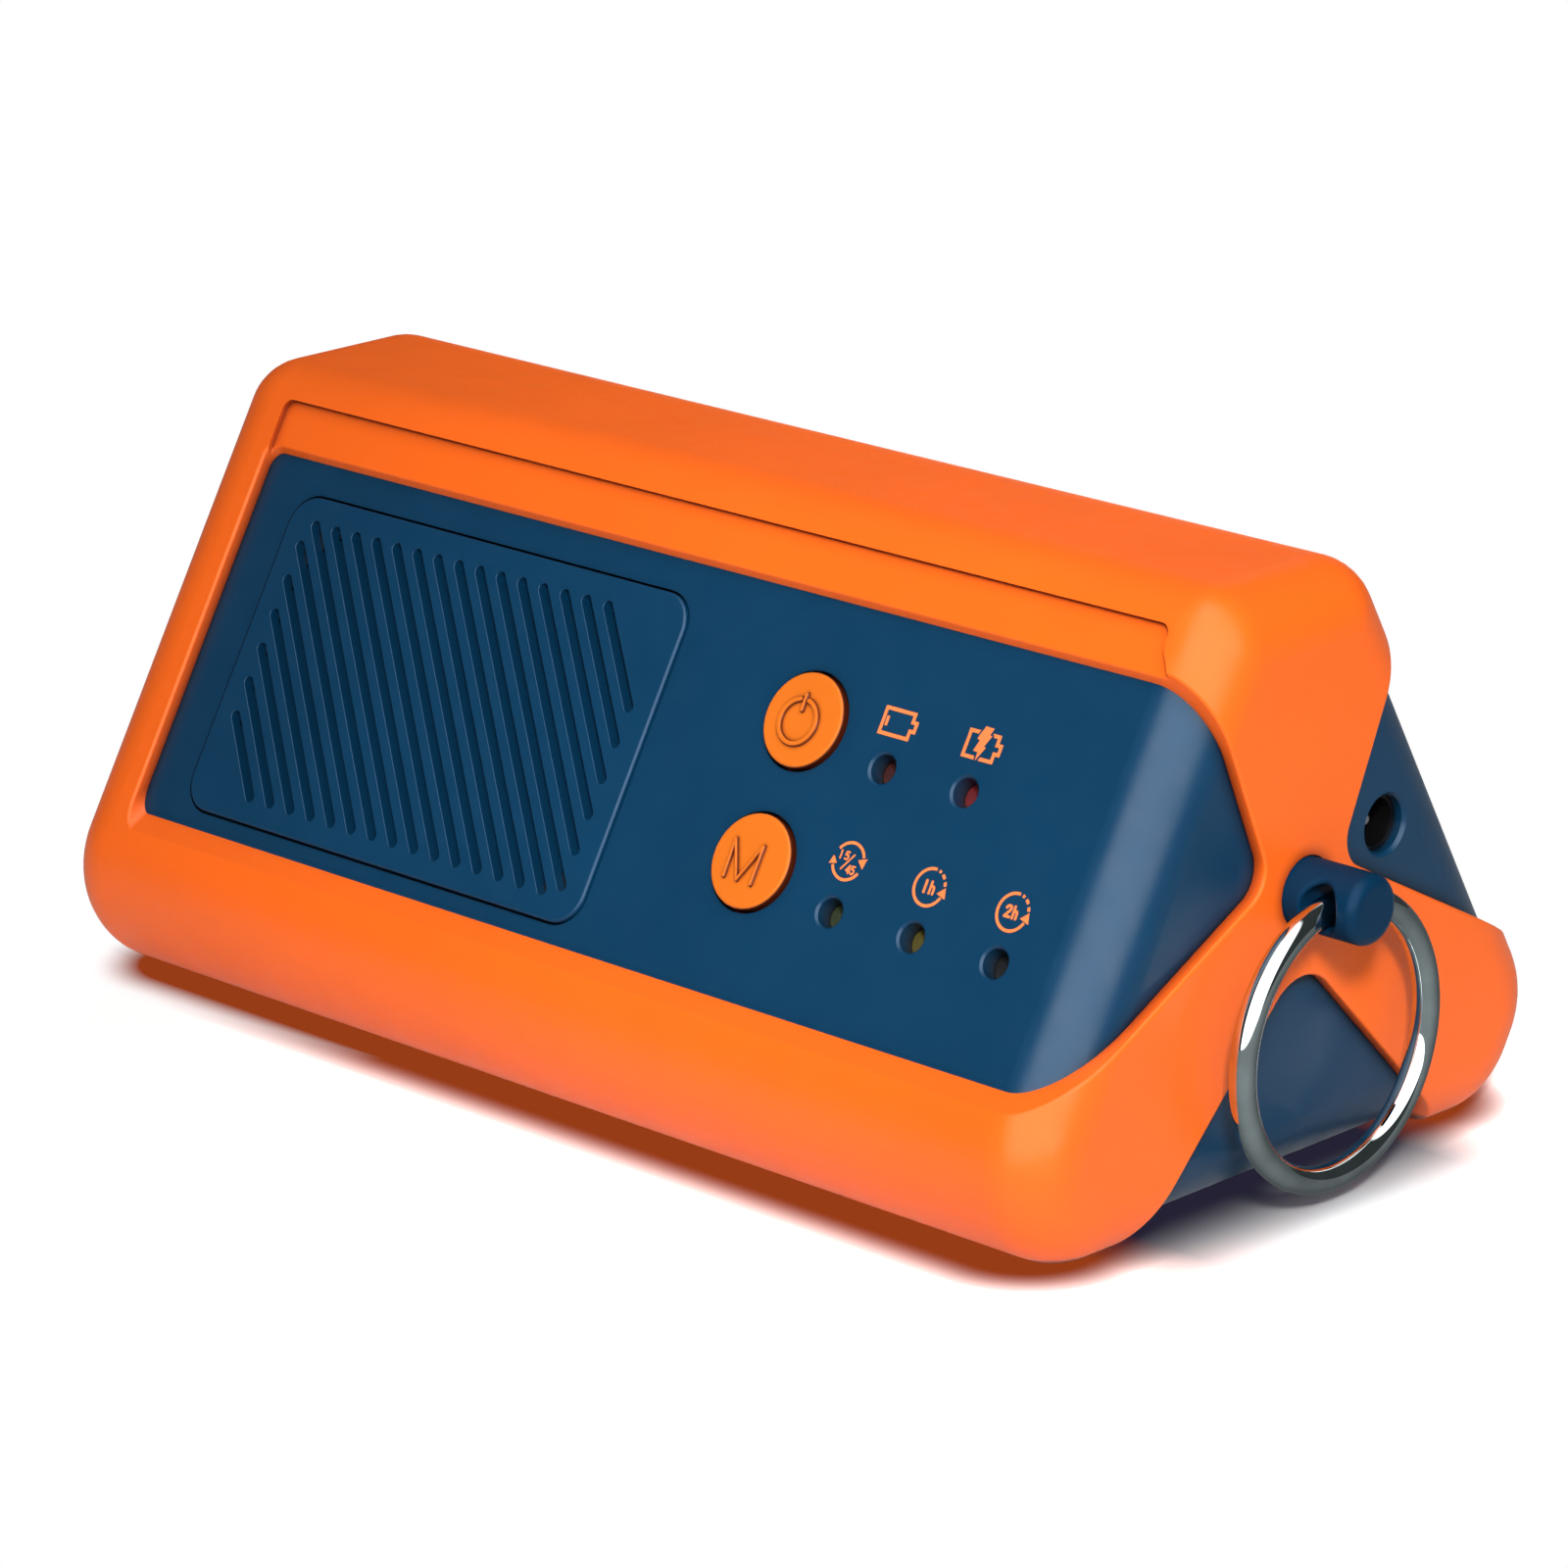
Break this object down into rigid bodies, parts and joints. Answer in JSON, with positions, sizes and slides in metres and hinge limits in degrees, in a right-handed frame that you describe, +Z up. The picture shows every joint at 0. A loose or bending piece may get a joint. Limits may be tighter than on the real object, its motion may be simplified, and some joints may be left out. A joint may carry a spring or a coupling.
{
  "type": "emergency radio",
  "caption": "Wedge-shaped emergency radio with a rubber bumper frame, slotted speaker grille, two push buttons, indicator lamps, a power inlet and a carrying ring on an end post.",
  "frame": {"origin": "on the table surface, midway along the body and midway across it", "axes": "+X along the body towards the end with the ring, -Y the side with the grille and buttons, +Z up"},
  "size_m": [0.191, 0.0999, 0.0805],
  "materials": {
    "bumper_orange": "satin moulded elastomer",
    "cover_blue": "fine satin moulded plastic",
    "grille_blue": "fine satin moulded plastic",
    "post_blue": "fine satin moulded plastic",
    "button_orange": "satin moulded plastic",
    "dark_mesh": "fine black screen",
    "black_foam": "closed-cell foam",
    "zinc_steel": "zinc plated",
    "dark_ferrite": "dull ceramic",
    "black_rubber": "matte",
    "paper_cone": "pressed paper",
    "black_plastic": "matte",
    "board_green": "solder mask",
    "ring_chrome": "polished steel",
    "jack_black": "gloss",
    "jack_pin_metal": "plated",
    "cell_wrap": "shrink sleeve",
    "nickel_strip": "nickel",
    "capacitor_sleeve": "shrink sleeve",
    "white_plastic": "matte",
    "lead_insulation": "soft",
    "copper_wire": "enamelled copper wire",
    "lamp_dark_red": "coloured resin, unlit",
    "lamp_red": "coloured resin, unlit",
    "lamp_green": "coloured resin, unlit",
    "lamp_amber": "coloured resin, unlit",
    "lamp_smoke": "coloured resin, unlit"
  },
  "bodies": {
    "radio_body": {"amplifier_chip": "black_plastic", "antenna_clips": "white_plastic", "antenna_coil": "copper_wire", "base_cover": "cover_blue", "battery_cells": "cell_wrap", "battery_leads": "lead_insulation", "battery_tabs": "nickel_strip", "battery_tray": "black_plastic", "board_cable": "lead_insulation", "board_capacitors": "capacitor_sleeve", "board_connectors": "white_plastic", "board_screws": "zinc_steel", "bumper_frame": "bumper_orange", "charging_lamp": "lamp_red", "control_board": "board_green", "cycle_lamp": "lamp_green", "ferrite_rod": "dark_ferrite", "front_cover": "cover_blue", "grille_plate": "grille_blue", "jack_body": "jack_black", "jack_leads": "lead_insulation", "jack_pin": "jack_pin_metal", "low_battery_lamp": "lamp_dark_red", "main_board": "board_green", "main_board_screws": "zinc_steel", "mode_switch": "black_plastic", "one_hour_lamp": "lamp_amber", "pillar_screws": "zinc_steel", "post_nut": "zinc_steel", "post_washer": "zinc_steel", "power_switch": "black_plastic", "radio_chip": "black_plastic", "rear_cover": "cover_blue", "ring_post": "post_blue", "speaker_basket": "zinc_steel", "speaker_gasket": "black_foam", "speaker_leads": "lead_insulation", "speaker_magnet": "dark_ferrite", "speaker_mesh": "dark_mesh", "speaker_surround": "black_rubber", "tray_screws": "zinc_steel", "two_hour_lamp": "lamp_smoke"},
    "power_button": {"power_button": "button_orange", "power_switch_plunger": "black_plastic"},
    "mode_button": {"mode_button": "button_orange", "mode_switch_plunger": "black_plastic"},
    "carry_ring": {"carry_ring": "ring_chrome"},
    "speaker_cone": {"speaker_cone": "paper_cone", "dust_cap": "paper_cone"}
  },
  "joints": [
    {"name": "power_button_press", "type": "slide", "parent": "radio_body", "child": "power_button", "axis": [0, 0.866, -0.5], "range_m": [0, 0.0006], "stiffness_N_per_m": 500},
    {"name": "mode_button_press", "type": "slide", "parent": "radio_body", "child": "mode_button", "axis": [0, 0.866, -0.5], "range_m": [0, 0.0006], "stiffness_N_per_m": 500},
    {"name": "ring_swing", "type": "hinge", "parent": "radio_body", "child": "carry_ring", "pos_m": [0.09535, 0, 0.04055], "axis": [0, -1, 0], "range_deg": [-4, 184]},
    {"name": "cone_travel", "type": "slide", "parent": "radio_body", "child": "speaker_cone", "axis": [0, -0.866, 0.5], "range_m": [-0.0008, 0.0008], "stiffness_N_per_m": 1500, "deforming": ["speaker_surround"]}
  ]
}
